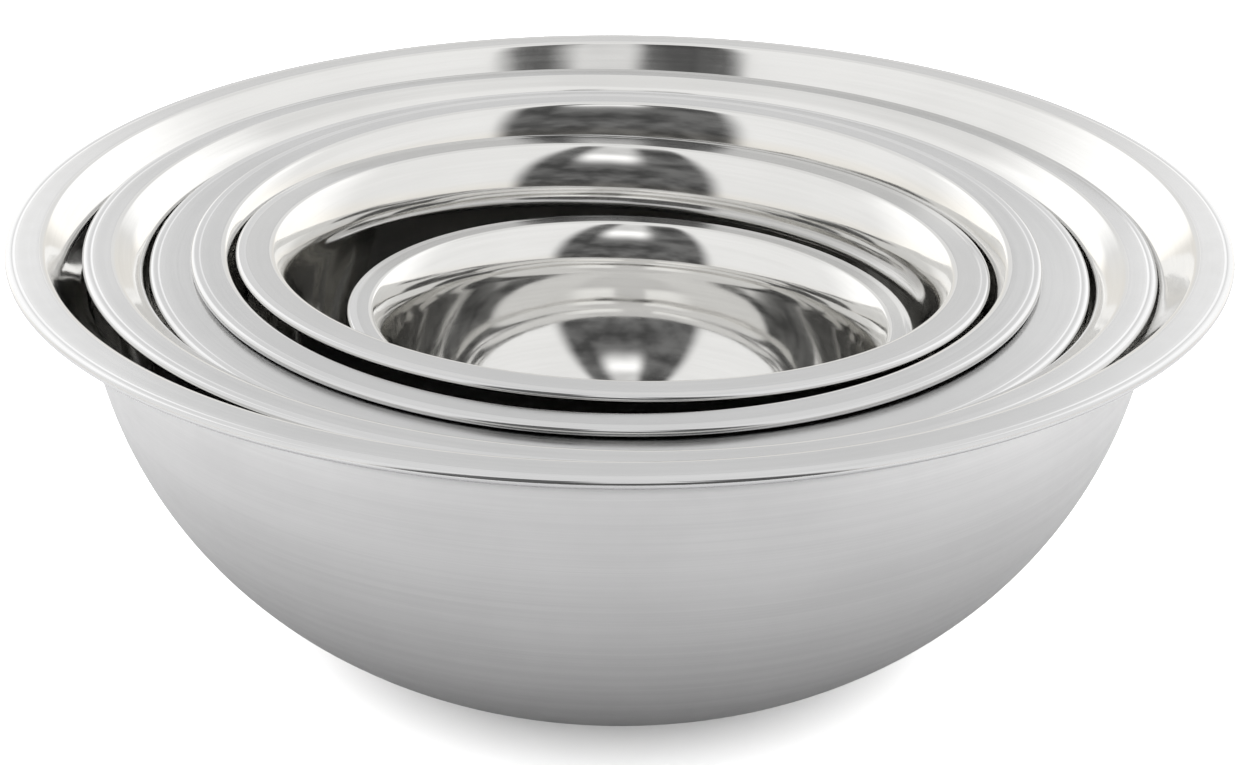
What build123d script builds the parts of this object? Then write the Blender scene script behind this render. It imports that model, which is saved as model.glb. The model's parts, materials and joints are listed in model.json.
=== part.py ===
from build123d import *
from dataclasses import dataclass
import math
import os

# A nested set of six stainless-steel mixing bowls. Millimetres, +Z up, +Y towards the back.
# The origin is on the surface that the set stands on, on the axis of the largest bowl.
#
# Each bowl is one sheet of steel: a flat base, a hollow wall, a rounded shoulder, on some a straight
# slope above it, then a tight bend, a flat flange, and a bead rolled at the flange's edge. The bowls
# are dropped into one another, so they lie a little askew. Each one's height is worked out from where
# it first meets the bowl that holds it: most hang by their bead on the next bowl's shoulder.

sheet = 0.8         # thickness of the steel
bead_radius = 1.1   # half the height of the rolled edge
bend = 2.0          # radius of the tight bend inside the flange, on the inner face
steep = 89.0        # slope of the wall where it meets the shoulder, in degrees
seat_gap = 0.3      # clearance between a bowl and the bowl that it rests in
turns = 120         # directions round a bowl in which its seat is tried


@dataclass
class Bowl:
    """Sizes of one bowl, and how it lies in the next larger one."""

    name: str
    rim: float        # radius over the bead
    flange: float     # width from the rim to the crest, where the tight bend begins
    slope: float      # slope just inside the tight bend, in degrees
    straight: float   # length of the straight slope between the tight bend and the shoulder, or 0
    shoulder: float   # radius of the shoulder, on the inner face
    depth: float      # height over all
    base: float       # radius at which the wall's arc would meet the inner floor
    foot: float       # radius of the bend from wall to base, on the inner face
    shift: tuple = (0.0, 0.0)   # how far its axis stands to the right, and to the back
    lean: tuple = (0.0, 0.0)    # degrees by which its right side, and its back, lie lower


bowls = [
    Bowl("bowl_34cm", 170.0, 9.2, 49.3, 13.0, 6.0, 128.0, 61.6, 12.0),
    Bowl("bowl_30cm", 150.3, 7.8, 33.0, 4.0, 11.9, 112.0, 52.0, 11.0, (0.3, 0.0), (0.9, 0.0)),
    Bowl("bowl_27cm", 132.7, 13.9, 34.0, 0.0, 22.0, 98.0, 46.0, 10.0, (0.0, 0.0), (0.0, -1.4)),
    Bowl("bowl_24cm", 120.4, 8.5, 55.0, 0.0, 25.0, 90.0, 41.0, 9.0, (-1.0, 0.0), (-0.1, -0.1)),
    Bowl("bowl_21cm", 107.0, 9.3, 43.0, 0.0, 22.0, 80.0, 36.0, 8.0, (-0.8, -1.2), (1.2, 3.3)),
    Bowl("bowl_16cm", 81.8, 6.2, 43.0, 0.0, 20.0, 60.0, 28.0, 7.0, (5.5, 0.0), (0.0, 0.0)),
]


def polar(centre, radius, angle):
    """The point at an angle, in radians, on a circle of the section."""
    return centre[0] + radius * math.cos(angle), centre[1] + radius * math.sin(angle)


def arc(centre, radius, start, end):
    """An arc of the section between two angles in radians, clockwise when the end is the smaller."""
    return CenterArc(centre, radius, math.degrees(start), math.degrees(end - start))


class Section:
    """Half section of a bowl: x outwards from its axis, y up from the top of its flange."""

    def __init__(self, bowl):
        self.rim = bowl.rim
        self.bottom = -bowl.depth
        self.floor = sheet - bowl.depth
        self.crest = bowl.rim - bowl.flange
        self.bend_centre = (self.crest, -bend)
        # The straight slope and the shoulder's arc go on from the tight bend without a break.
        self.slope = math.radians(90 + bowl.slope)
        self.straight = bowl.straight
        bend_end = polar(self.bend_centre, bend, self.slope)
        slope_end = polar(bend_end, bowl.straight, self.slope + math.pi / 2)
        self.steep = math.radians(90 + steep)
        self.shoulder = bowl.shoulder
        self.shoulder_centre = polar(slope_end, -bowl.shoulder, self.slope)
        neck_x, neck_y = polar(self.shoulder_centre, bowl.shoulder, self.steep)
        # The wall's arc goes on from the shoulder and runs to the base radius on the floor.
        self.top = self.steep - math.pi
        run = neck_x - bowl.base
        drop = neck_y - self.floor
        lean_in = run * math.cos(self.top) + drop * math.sin(self.top)
        self.wall = (run**2 + drop**2) / (2 * lean_in)
        self.wall_centre = polar((neck_x, neck_y), -self.wall, self.top)
        # The foot's arc touches both the wall's arc and the floor.
        self.foot = bowl.foot
        rise = self.floor + bowl.foot - self.wall_centre[1]
        reach = math.sqrt((self.wall - bowl.foot) ** 2 - rise**2)
        self.foot_centre = (self.wall_centre[0] + reach, self.floor + bowl.foot)
        self.joint = math.atan2(rise, reach)
        self.bead_centre = (bowl.rim - bead_radius, -bead_radius)

    def slope_ends(self, offset):
        """The two ends of the straight slope, from the shoulder up, a distance above the inner face."""
        return (
            polar(self.shoulder_centre, self.shoulder + offset, self.slope),
            polar(self.bend_centre, bend + offset, self.slope),
        )

    def face(self):
        """The sheet and its bead as one closed outline."""
        up, left, down = math.pi / 2, math.pi, -math.pi / 2
        tuck = math.asin((bead_radius - sheet) / bead_radius)
        bead_end = polar(self.bead_centre, bead_radius, left - tuck)
        foot_x = self.foot_centre[0]
        inner_slope = [Line(*self.slope_ends(0))] if self.straight else []
        outer_slope = [Line(*self.slope_ends(-sheet))] if self.straight else []
        outline = [
            Line((0, self.floor), (foot_x, self.floor)),
            arc(self.foot_centre, self.foot, down, self.joint),
            arc(self.wall_centre, self.wall, self.joint, self.top),
            arc(self.shoulder_centre, self.shoulder, self.steep, self.slope),
            *inner_slope,
            arc(self.bend_centre, bend, self.slope, up),
            Line((self.crest, 0), (self.bead_centre[0], 0)),
            arc(self.bead_centre, bead_radius, up, -left - tuck),
            Line(bead_end, (self.crest, -sheet)),
            arc(self.bend_centre, bend - sheet, up, self.slope),
            *outer_slope,
            arc(self.shoulder_centre, self.shoulder - sheet, self.slope, self.steep),
            arc(self.wall_centre, self.wall + sheet, self.top, self.joint),
            arc(self.foot_centre, self.foot + sheet, self.joint, down),
            Line((foot_x, self.bottom), (0, self.bottom)),
            Line((0, self.bottom), (0, self.floor)),
        ]
        return Plane.XZ * Face(Wire(outline))

    def seat_height(self, x):
        """Height, x from the axis, of the surface that runs one seat gap above the inner face."""
        foot, wall, shoulder = self.foot - seat_gap, self.wall - seat_gap, self.shoulder + seat_gap
        if x <= self.foot_centre[0]:
            return self.floor + seat_gap
        if x <= polar(self.wall_centre, wall, self.joint)[0]:
            return self.foot_centre[1] - math.sqrt(foot**2 - (x - self.foot_centre[0]) ** 2)
        if x <= polar(self.wall_centre, wall, self.top)[0]:
            return self.wall_centre[1] - math.sqrt(wall**2 - (x - self.wall_centre[0]) ** 2)
        slope_low, slope_high = self.slope_ends(seat_gap)
        if x <= slope_low[0]:
            return self.shoulder_centre[1] + math.sqrt(shoulder**2 - (x - self.shoulder_centre[0]) ** 2)
        if x <= slope_high[0]:
            return slope_high[1] - (slope_high[0] - x) * math.tan(self.slope - math.pi / 2)
        if x <= self.crest:
            return self.bend_centre[1] + math.sqrt((bend + seat_gap) ** 2 - (x - self.crest) ** 2)
        return seat_gap

    def underside(self):
        """Points of the outer face, as x and height, that may meet the bowl that holds this one."""
        bead = [polar(self.bead_centre, bead_radius, math.radians(a)) for a in range(-150, 31, 5)]
        sweep = self.steep - self.slope
        shoulder = [
            polar(self.shoulder_centre, self.shoulder - sheet, self.slope + sweep * i / 20)
            for i in range(21)
        ]
        wall = [
            polar(self.wall_centre, self.wall + sheet, self.joint + (self.top - self.joint) * i / 20)
            for i in range(21)
        ]
        sweep = -math.pi / 2 - self.joint
        foot = [
            polar(self.foot_centre, self.foot + sheet, self.joint + sweep * i / 10)
            for i in range(11)
        ]
        return bead + list(self.slope_ends(-sheet)) + shoulder + wall + foot


def settle(bowl, holder):
    """Where a bowl comes to rest in the bowl that holds it, as a location in that bowl's own frame."""
    askew = Pos(*bowl.shift, 0) * Rot(-bowl.lean[1], bowl.lean[0], 0)
    seat = Section(holder)
    height = -holder.depth
    for x, z in Section(bowl).underside():
        for turn in range(turns):
            angle = 2 * math.pi * turn / turns
            point = (askew * Pos(x * math.cos(angle), x * math.sin(angle), z)).position
            height = max(height, seat.seat_height(math.hypot(point.X, point.Y)) - point.Z)
    return Pos(0, 0, height) * askew


os.makedirs("parts", exist_ok=True)
place = Pos(0, 0, bowls[0].depth)
for bowl, holder in zip(bowls, [None] + bowls[:-1]):
    if holder:
        place = place * settle(bowl, holder)
    solid = place * revolve(Section(bowl).face(), Axis.Z)
    export_step(solid, f"parts/{bowl.name}.step")
    print(bowl.name, "rim centre", place.position, "base to rim", bowl.depth)
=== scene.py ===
# Nested set of six stainless-steel mixing bowls, in metres. Blender 4.5.
import json
import math

import bpy
from mathutils import Matrix, Vector


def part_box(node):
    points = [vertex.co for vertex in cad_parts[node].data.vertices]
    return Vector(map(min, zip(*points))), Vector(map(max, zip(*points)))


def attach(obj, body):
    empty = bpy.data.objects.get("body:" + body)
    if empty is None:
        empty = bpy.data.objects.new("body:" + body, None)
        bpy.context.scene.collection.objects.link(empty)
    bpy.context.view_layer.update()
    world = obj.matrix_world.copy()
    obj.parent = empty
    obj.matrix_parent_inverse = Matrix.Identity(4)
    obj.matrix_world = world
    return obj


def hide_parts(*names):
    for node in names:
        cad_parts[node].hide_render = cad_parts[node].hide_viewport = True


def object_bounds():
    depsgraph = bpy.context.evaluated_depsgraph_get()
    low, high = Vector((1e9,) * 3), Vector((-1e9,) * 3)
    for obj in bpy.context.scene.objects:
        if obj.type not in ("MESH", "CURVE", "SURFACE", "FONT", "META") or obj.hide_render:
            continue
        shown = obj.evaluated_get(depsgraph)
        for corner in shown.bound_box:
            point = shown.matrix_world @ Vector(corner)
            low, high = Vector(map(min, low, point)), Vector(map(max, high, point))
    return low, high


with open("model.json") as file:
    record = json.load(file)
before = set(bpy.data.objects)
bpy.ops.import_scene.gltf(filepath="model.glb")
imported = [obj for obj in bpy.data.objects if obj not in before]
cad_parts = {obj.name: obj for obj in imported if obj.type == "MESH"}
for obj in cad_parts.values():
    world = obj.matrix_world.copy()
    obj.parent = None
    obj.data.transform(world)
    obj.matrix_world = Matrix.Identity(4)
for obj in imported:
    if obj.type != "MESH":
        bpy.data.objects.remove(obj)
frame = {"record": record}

cad_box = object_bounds()

# ---------------------------------------------------------------- the bowls
MM = 0.001
SHEET = 0.8       # thickness of the steel
BEAD = 1.1        # half the height of the rolled edge
AROUND = 360      # faces round each bowl
BEND = 2.0        # radius of the tight bend inside the flange
STEEP = 89.0      # slope of the wall where it meets the shoulder, in degrees
# the shallow crease where the flange's edge starts to curl
CREASE_IN = 2.15 * BEAD     # from the rim in to its deepest line
CREASE_DEEP = 0.04
CREASE_INNER = 0.55         # width of its inner side
CREASE_OUTER = 0.5          # width of its outer side
# the end of the curl
CURL_END = -168             # where on the bead's circle it stops, in degrees
CUT_IN = 0.35               # the sheet's cut end reaches this near to the circle's middle,
CUT_UP = 0.05               # and this far above it
CURL_ROOT = 0.25            # how far inside the bead's circle the curl's inside meets the flange

# name: rim radius, flange width, slope in degrees and length of the straight run inside the flange,
# radius of the shoulder, depth, base radius, foot radius, and the bowl's own lean to the right and
# to the back, in degrees, in the bowl that holds it
BOWLS = {
    "bowl_34cm": (170.0, 9.2, 49.3, 13.0, 6.0, 128.0, 61.6, 12.0, (0.0, 0.0)),
    "bowl_30cm": (150.3, 7.8, 33.0, 4.0, 11.9, 112.0, 52.0, 11.0, (0.9, 0.0)),
    "bowl_27cm": (132.7, 13.9, 34.0, 0.0, 22.0, 98.0, 46.0, 10.0, (0.0, -1.4)),
    "bowl_24cm": (120.4, 8.5, 55.0, 0.0, 25.0, 90.0, 41.0, 9.0, (-0.1, -0.1)),
    "bowl_21cm": (107.0, 9.3, 43.0, 0.0, 22.0, 80.0, 36.0, 8.0, (1.2, 3.3)),
    "bowl_16cm": (81.8, 6.2, 43.0, 0.0, 20.0, 60.0, 28.0, 7.0, (0.0, 0.0)),
}

OUTSIDE, INSIDE, FLANGE, EDGE = range(4)     # the four finishes of a bowl


def polar(centre, radius, degrees):
    """A point on a circle of the section."""
    a = math.radians(degrees)
    return centre[0] + radius * math.cos(a), centre[1] + radius * math.sin(a)


def arc(centre, radius, start, end, count):
    """Points along an arc of the section, without its first one."""
    return [polar(centre, radius, start + (end - start) * i / count) for i in range(1, count + 1)]


def line(start, end, count):
    """Points along a straight run of the section, without its first one."""
    return [
        (start[0] + (end[0] - start[0]) * i / count, start[1] + (end[1] - start[1]) * i / count)
        for i in range(1, count + 1)
    ]


def section(rim, flange, slope, straight, shoulder, depth, base, foot):
    """The closed section of a bowl, from the middle of its floor round to the middle of its base.
    Returns its points, in mm from the middle of the rim, and the finish of the face after each.
    The last number of each stretch is how many faces it is cut into."""
    floor = SHEET - depth
    crest = rim - flange
    bend_centre = (crest, -BEND)
    slope_end = polar(polar(bend_centre, BEND, 90 + slope), straight, 180 + slope)
    shoulder_centre = polar(slope_end, -shoulder, 90 + slope)
    neck = polar(shoulder_centre, shoulder, 90 + STEEP)
    top = STEEP - 90
    run = neck[0] - base
    drop = neck[1] - floor
    t = math.radians(top)
    wall = (run**2 + drop**2) / (2 * (run * math.cos(t) + drop * math.sin(t)))
    wall_centre = polar(neck, -wall, top)
    rise = floor + foot - wall_centre[1]
    reach = math.sqrt((wall - foot) ** 2 - rise**2)
    foot_centre = (wall_centre[0] + reach, floor + foot)
    joint = math.degrees(math.atan2(rise, reach))
    bead_centre = (rim - BEAD, -BEAD)
    # where the flange's underside meets the bead's circle
    tuck = math.degrees(math.asin((BEAD - SHEET) / BEAD))
    under = (bead_centre[0] - BEAD * math.cos(math.radians(tuck)), -SHEET)

    points = [(0.0, floor)]
    finishes = []

    def add(more, finish):
        points.extend(more)
        finishes.extend([finish] * len(more))

    # up the inside
    add(line(points[-1], (foot_centre[0], floor), 8), INSIDE)
    add(arc(foot_centre, foot, -90, joint, 14), INSIDE)
    add(arc(wall_centre, wall, joint, top, 54), INSIDE)
    add(arc(shoulder_centre, shoulder, 90 + STEEP, 90 + slope, 30), INSIDE)
    if straight:
        add(line(points[-1], polar(bend_centre, BEND, 90 + slope), 8), INSIDE)
    add(arc(bend_centre, BEND, 90 + slope, 90, 8), INSIDE)
    # the flange and its crease
    crease = (rim - CREASE_IN, -CREASE_DEEP)
    add(line(points[-1], (crease[0] - CREASE_INNER, 0.0), 6), FLANGE)
    add(line(points[-1], crease, 3), EDGE)
    add(line(points[-1], (crease[0] + CREASE_OUTER, 0.0), 3), EDGE)
    add(line(points[-1], (bead_centre[0], 0.0), 2), EDGE)
    # the curled edge, which stops short of the flange's underside
    add(arc(bead_centre, BEAD, 90, CURL_END, 20), EDGE)
    add(line(points[-1], (bead_centre[0] - CUT_IN, bead_centre[1] + CUT_UP), 2), OUTSIDE)
    add(line(points[-1], (under[0] + CURL_ROOT, under[1]), 2), OUTSIDE)
    # back down the outside
    add(line(points[-1], (crest, -SHEET), 6), OUTSIDE)
    add(arc(bend_centre, BEND - SHEET, 90, 90 + slope, 6), OUTSIDE)
    if straight:
        add(line(points[-1], polar(shoulder_centre, shoulder - SHEET, 90 + slope), 8), OUTSIDE)
    add(arc(shoulder_centre, shoulder - SHEET, 90 + slope, 90 + STEEP, 24), OUTSIDE)
    add(arc(wall_centre, wall + SHEET, top, joint, 54), OUTSIDE)
    add(arc(foot_centre, foot + SHEET, joint, -90, 14), OUTSIDE)
    add(line(points[-1], (0.0, -depth), 8), OUTSIDE)
    return points, finishes


def lathe(name, points, finishes, materials):
    """A mesh made by turning the section about Z, with one material for each finish."""
    verts = []
    rings = []
    for x, z in points:
        if x < 1e-6:
            rings.append([len(verts)] * AROUND)
            verts.append((0.0, 0.0, z * MM))
            continue
        rings.append(range(len(verts), len(verts) + AROUND))
        for k in range(AROUND):
            a = 2 * math.pi * k / AROUND
            verts.append((x * MM * math.cos(a), x * MM * math.sin(a), z * MM))
    faces = []
    index = []
    for low, high, finish in zip(rings, rings[1:], finishes):
        for k in range(AROUND):
            n = (k + 1) % AROUND
            corners = [low[k], low[n], high[n], high[k]]
            faces.append([c for i, c in enumerate(corners) if c not in corners[:i]])
            index.append(finish)
    mesh = bpy.data.meshes.new(name)
    mesh.from_pydata(verts, [], faces)
    for material in materials:
        mesh.materials.append(material)
    mesh.polygons.foreach_set("material_index", index)
    mesh.polygons.foreach_set("use_smooth", [True] * len(faces))
    mesh.update()
    return mesh


# ---------------------------------------------------------------- materials
class Nodes:
    """A small helper that adds nodes to a tree and joins them."""

    def __init__(self, tree):
        self.tree = tree
        tree.nodes.clear()

    def add(self, kind, **settings):
        node = self.tree.nodes.new(kind)
        for key, value in settings.items():
            setattr(node, key, value)
        return node

    def join(self, source, target):
        self.tree.links.new(source, target)

    def put(self, value, target):
        if isinstance(value, bpy.types.NodeSocket):
            self.join(value, target)
        else:
            target.default_value = value

    def math(self, operation, *values, clamp=False):
        node = self.add("ShaderNodeMath", operation=operation, use_clamp=clamp)
        for value, target in zip(values, node.inputs):
            self.put(value, target)
        return node.outputs[0]

    def ramp(self, value, low, high, out_low=0.0, out_high=1.0):
        node = self.add("ShaderNodeMapRange", interpolation_type="SMOOTHSTEP")
        for v, target in zip((value, low, high, out_low, out_high), node.inputs):
            self.put(v, target)
        return node.outputs[0]

    def noise(self, vector, scale, detail=2.0, rough=0.5, w=None, dimensions="3D"):
        node = self.add("ShaderNodeTexNoise", noise_dimensions=dimensions)
        self.put(vector, node.inputs["Vector"])
        if w is not None:
            self.put(w, node.inputs["W"])
        node.inputs["Scale"].default_value = scale
        node.inputs["Detail"].default_value = detail
        node.inputs["Roughness"].default_value = rough
        return node.outputs[0]

    def mix(self, factor, a, b):
        node = self.add("ShaderNodeMix", data_type="RGBA")
        self.put(factor, node.inputs[0])
        self.put(a, node.inputs[6])
        self.put(b, node.inputs[7])
        return node.outputs[2]

    def bump(self, height, distance, normal=None):
        node = self.add("ShaderNodeBump")
        node.inputs["Strength"].default_value = 1.0
        node.inputs["Distance"].default_value = distance
        self.put(height, node.inputs["Height"])
        if normal is not None:
            self.join(normal, node.inputs["Normal"])
        return node.outputs[0]


ALONG = 2.0          # a higher value makes the brushed lines shorter
BROAD = 0.16         # scale of the broad bands against that of the single lines
CLOUD_SCALE = 22.0   # cloudy change of colour, per metre
RUB_SCALE = 160.0    # patches that handling has rubbed, per metre
WAVE_SCALE = 34.0    # soft unevenness of the sheet, per metre
RING_SCALE = 0.55    # forming rings, against the single lines


def steel(name, dark, light, smooth, coarse, grain, fine, wave, ripple):
    """Stainless steel with a turned finish. dark and light are the ends of its colour, smooth and
    coarse of its roughness. grain is how many brushed lines there are in a metre of the section,
    fine their depth, wave the depth of the sheet's own soft unevenness and ripple that of the
    rings that forming leaves, in metres."""
    material = bpy.data.materials.new(name)
    material.use_nodes = True
    n = Nodes(material.node_tree)
    place = n.add("ShaderNodeTexCoord").outputs["Object"]
    split = n.add("ShaderNodeSeparateXYZ")
    n.join(place, split.inputs[0])
    x, y, z = split.outputs
    radius = n.math("SQRT", n.math("ADD", n.math("MULTIPLY", x, x), n.math("MULTIPLY", y, y)))
    safe = n.math("MAXIMUM", radius, 0.002)
    # brushed lines run round the bowl: little change with the angle, much with height and radius
    join = n.add("ShaderNodeCombineXYZ")
    n.put(n.math("MULTIPLY", n.math("DIVIDE", x, safe), ALONG), join.inputs[0])
    n.put(n.math("MULTIPLY", n.math("DIVIDE", y, safe), ALONG), join.inputs[1])
    n.put(n.math("MULTIPLY", radius, grain), join.inputs[2])
    height = n.math("MULTIPLY", z, grain)
    lines = n.noise(join.outputs[0], 1.0, 3.0, 0.6, w=height, dimensions="4D")
    broad = n.add("ShaderNodeVectorMath", operation="SCALE")
    n.join(join.outputs[0], broad.inputs[0])
    broad.inputs["Scale"].default_value = BROAD
    broad_height = n.math("MULTIPLY", z, grain * BROAD)
    bands = n.noise(broad.outputs[0], 1.0, 2.0, 0.5, w=broad_height, dimensions="4D")
    cloud = n.noise(place, CLOUD_SCALE, 3.0, 0.55)
    rub = n.noise(place, RUB_SCALE, 4.0, 0.65)

    shader = n.add("ShaderNodeBsdfPrincipled")
    shader.inputs["Metallic"].default_value = 1.0
    tone = n.math("ADD", n.math("MULTIPLY", lines, 0.35), n.math("MULTIPLY", bands, 0.35))
    tone = n.math("ADD", tone, n.math("MULTIPLY", cloud, 0.3))
    tone = n.ramp(tone, 0.34, 0.66)
    n.join(n.mix(tone, dark, light), shader.inputs["Base Color"])
    wear = n.math("ADD", n.math("MULTIPLY", lines, 0.5), n.math("MULTIPLY", rub, 0.5))
    n.join(n.ramp(wear, 0.36, 0.64, smooth, coarse), shader.inputs["Roughness"])
    soft = n.noise(place, WAVE_SCALE, 1.0, 0.4)
    rings = n.noise(join.outputs[0], RING_SCALE, 1.0, 0.4, w=height, dimensions="4D")
    normal = n.bump(soft, wave)
    normal = n.bump(rings, ripple, normal)
    if fine:
        normal = n.bump(lines, fine, normal)
    n.join(normal, shader.inputs["Normal"])
    out = n.add("ShaderNodeOutputMaterial")
    n.join(shader.outputs[0], out.inputs["Surface"])
    return material


finishes = [
    steel("steel_satin_outside", dark=(0.635, 0.633, 0.632, 1), light=(0.71, 0.708, 0.706, 1),
          smooth=0.30, coarse=0.40, grain=2200.0, fine=1.5e-6, wave=4e-5, ripple=0.0),
    steel("steel_bright_inside", dark=(0.70, 0.695, 0.68, 1), light=(0.76, 0.755, 0.74, 1),
          smooth=0.05, coarse=0.10, grain=900.0, fine=0.0, wave=2.8e-4, ripple=4e-6),
    steel("steel_satin_flange", dark=(0.545, 0.545, 0.545, 1), light=(0.60, 0.60, 0.60, 1),
          smooth=0.18, coarse=0.26, grain=2400.0, fine=8e-7, wave=3e-5, ripple=0.0),
    steel("steel_polished_edge", dark=(0.62, 0.62, 0.62, 1), light=(0.68, 0.68, 0.68, 1),
          smooth=0.08, coarse=0.14, grain=2400.0, fine=4e-7, wave=2e-5, ripple=0.0),
]

# ---------------------------------------------------------------- the pieces
turn = Matrix.Identity(3)
for node, (*sizes, lean) in BOWLS.items():
    to_back = Matrix.Rotation(math.radians(-lean[1]), 3, "X")
    to_right = Matrix.Rotation(math.radians(lean[0]), 3, "Y")
    turn = turn @ to_back @ to_right
    axis = turn @ Vector((0, 0, 1))
    low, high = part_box(node)
    # the curled edge is a ring, and the box's top and sides touch it
    reach = (sizes[0] - BEAD) * MM
    centre = Vector((
        (low[0] + high[0]) / 2,
        (low[1] + high[1]) / 2,
        high[2] - BEAD * MM - reach * math.sqrt(max(0.0, 1 - axis.z**2)),
    ))
    points, zones = section(*sizes)
    name = "mixing_" + node
    piece = bpy.data.objects.new(name, lathe(name, points, zones, finishes))
    bpy.context.collection.objects.link(piece)
    piece.matrix_world = Matrix.Translation(centre + axis * BEAD * MM) @ turn.to_4x4()
    bpy.context.view_layer.update()
    body = next(b for b, nodes in frame["record"]["behaviour"]["bodies"].items() if node in nodes)
    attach(piece, body)
    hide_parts(node)

# ---------------------------------------------------------------- floor
HALF = 6.0            # half the floor's width
BELOW = 0.0002        # how far the floor lies below the largest bowl's base

ground = bpy.data.meshes.new("studio_floor")
corners = [(-HALF, -HALF, 0), (HALF, -HALF, 0), (HALF, HALF, 0), (-HALF, HALF, 0)]
ground.from_pydata(corners, [], [(0, 1, 2, 3)])
floor = bpy.data.objects.new("studio_floor", ground)
floor.location = (0, 0, cad_box[0].z - BELOW)
bpy.context.collection.objects.link(floor)
paper = bpy.data.materials.new("pale_paper")
paper.use_nodes = True
n = Nodes(paper.node_tree)
shader = n.add("ShaderNodeBsdfPrincipled")
place = n.add("ShaderNodeTexCoord").outputs["Object"]
paper_tone = n.mix(n.noise(place, 40.0, 4.0), (0.90, 0.90, 0.90, 1), (0.92, 0.92, 0.92, 1))
# the steel mirrors a greyer floor than the one in view, with painted shade: greyest under the
# bowls, palest beside them
split = n.add("ShaderNodeSeparateXYZ")
n.join(place, split.inputs[0])
x, y, z = split.outputs
reach = n.math("SQRT", n.math("ADD", n.math("MULTIPLY", x, x), n.math("MULTIPLY", y, y)))
# painted shade under the bowls: the floor seen in the steel darkens towards the bowls' middle,
# where their shade falls
near = n.ramp(reach, 0.06, 0.17)
# the painted shade fades to the left and right of the bowls
beside = n.ramp(n.math("ABSOLUTE", x), 0.13, 0.32)
mirrored_painted_shade = n.mix(near, (0.155, 0.155, 0.157, 1), (0.24, 0.24, 0.242, 1))
mirrored_painted_shade = n.mix(beside, mirrored_painted_shade, (0.30, 0.30, 0.302, 1))
in_mirror = n.add("ShaderNodeLightPath").outputs["Is Glossy Ray"]
n.join(n.mix(in_mirror, paper_tone, mirrored_painted_shade), shader.inputs["Base Color"])
shader.inputs["Roughness"].default_value = 0.7
shader.inputs["Specular IOR Level"].default_value = 0.2
n.join(shader.outputs[0], n.add("ShaderNodeOutputMaterial").inputs["Surface"])
ground.materials.append(paper)

# ---------------------------------------------------------------- light
BOX_TURNED = 6.5      # where the middle of the soft box is, in degrees
WALL_LIGHT = 1.08     # strength of the white walls, as the steel mirrors them
FLOOR_LIGHT = 4.4     # strength of what lights the floor
IN_VIEW = 1.05        # strength of the background in view
WHITE = (1.0, 1.0, 1.0, 1)
CREAM = (1.0, 0.975, 0.93, 1)

world = bpy.data.worlds.new("studio")
bpy.context.scene.world = world
world.use_nodes = True
n = Nodes(world.node_tree)
direction = n.add("ShaderNodeTexCoord").outputs["Generated"]
split = n.add("ShaderNodeSeparateXYZ")
n.join(direction, split.inputs[0])
x, y, z = split.outputs
# directions, in radians: turned is the angle to the right of straight ahead of the bowls, towards
# the viewer, and up is the angle above the floor
turned = n.math("ARCTAN2", x, n.math("MULTIPLY", y, -1.0))
up = n.math("ARCSINE", z)
side = n.math("ABSOLUTE", turned)


def fade(value, low, high, out_low=0.0, out_high=1.0):
    """A smooth step between two angles in degrees."""
    return n.ramp(value, math.radians(low), math.radians(high), out_low, out_high)


def choose(flag, yes, no):
    """yes where the flag is 1, no where it is 0, and a blend in between."""
    other = n.math("MULTIPLY", n.math("SUBTRACT", 1.0, flag), no)
    return n.math("ADD", n.math("MULTIPLY", flag, yes), other)


# a dark opening in front, where the studio has no white wall, with one soft box high up in it
opening = n.math("MULTIPLY", fade(side, 34, 44, 1.0, 0.0), fade(up, 72, 84, 1.0, 0.0))
box_side = n.math("ABSOLUTE", n.math("SUBTRACT", turned, math.radians(BOX_TURNED)))
box = n.math("MULTIPLY", fade(box_side, 8, 20, 1.0, 0.0), fade(up, 41, 59))
box = n.math("MULTIPLY", box, fade(up, 57, 66, 1.25, 0.62))
cloth = n.noise(direction, 5.0, 3.0, 0.5)
dim = n.ramp(cloth, 0.3, 0.7, 0.07, 0.2)
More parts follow.
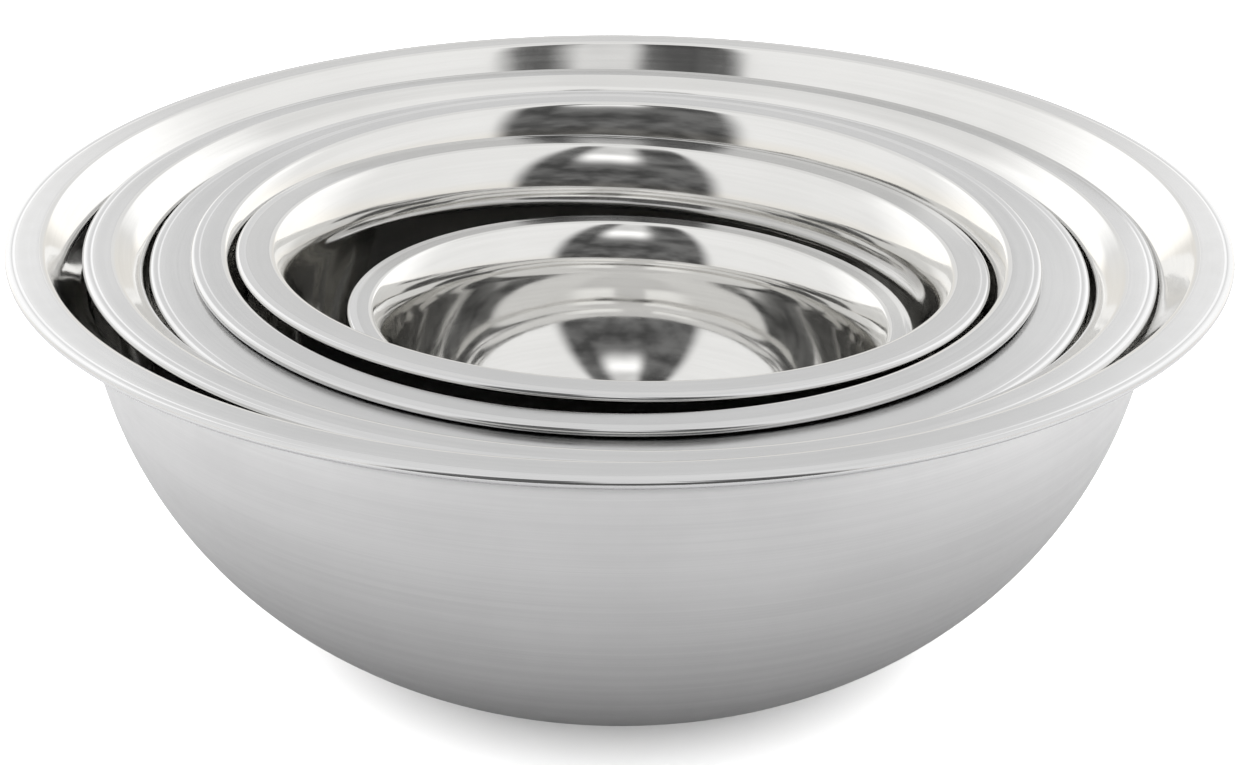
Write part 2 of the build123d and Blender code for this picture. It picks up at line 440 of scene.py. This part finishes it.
# the far wall is a little darker than the others, but brighter low down at its two sides
far_side = n.math("MULTIPLY", fade(side, 162, 169, 1.0, 0.0), fade(up, 35, 50, 1.0, 0.0))
far = n.math("ADD", 0.88, n.math("MULTIPLY", far_side, 0.45))
plain = choose(fade(side, 110, 140), far, 1.0)
wall = choose(opening, dim, plain)
level = n.math("ADD", wall, n.math("MULTIPLY", opening, box))
level = n.math("MULTIPLY", level, WALL_LIGHT)
# the lower part of the walls is a little warmer
path = n.add("ShaderNodeLightPath")
seen = path.outputs["Is Camera Ray"]
soft = path.outputs["Is Diffuse Ray"]
colour = n.mix(n.math("MAXIMUM", seen, soft), n.mix(fade(up, 6, 20), CREAM, WHITE), WHITE)
# the floor is lit evenly from all sides, and stays white up to the bowls
strength = choose(seen, IN_VIEW, choose(soft, FLOOR_LIGHT, level))
back = n.add("ShaderNodeBackground")
n.join(colour, back.inputs["Color"])
n.join(strength, back.inputs["Strength"])
n.join(back.outputs[0], n.add("ShaderNodeOutputWorld").inputs["Surface"])

scene = bpy.context.scene
scene.view_settings.view_transform = "Standard"
scene.view_settings.look = "None"
scene.view_settings.exposure = 0.0
scene.view_settings.gamma = 1.0
scene.cycles.max_bounces = 16
scene.cycles.glossy_bounces = 12

# ---------------------------------------------------------------- camera
PITCH = math.radians(25.24)       # how far it looks down
ROLL = math.radians(0.4)          # how far it is turned about its own line of sight
LENS = 63.77                      # in mm, on a sensor 36 mm wide
DISTANCE = 0.6502                 # from the camera to the point that it looks at
AIM_RIGHT = 0.0006                # where that point is: right of the middle
AIM_BELOW = 0.05645               # and below the top of the largest bowl
forward = Vector((0, math.cos(PITCH), -math.sin(PITCH)))
right = Vector((1, 0, 0))
upward = right.cross(forward)
right, upward = (
    right * math.cos(ROLL) + upward * math.sin(ROLL),
    upward * math.cos(ROLL) - right * math.sin(ROLL),
)
aim = Vector((AIM_RIGHT, 0.0, cad_box[1].z - AIM_BELOW))
data = bpy.data.cameras.new("camera")
data.sensor_fit = "HORIZONTAL"
data.sensor_width = 36.0
data.lens = LENS
data.clip_start = 0.01
camera = bpy.data.objects.new("camera", data)
bpy.context.collection.objects.link(camera)
pose = Matrix((right, upward, -forward)).transposed().to_4x4()
pose.translation = aim - forward * DISTANCE
camera.matrix_world = pose
scene.camera = camera

bpy.context.view_layer.update()
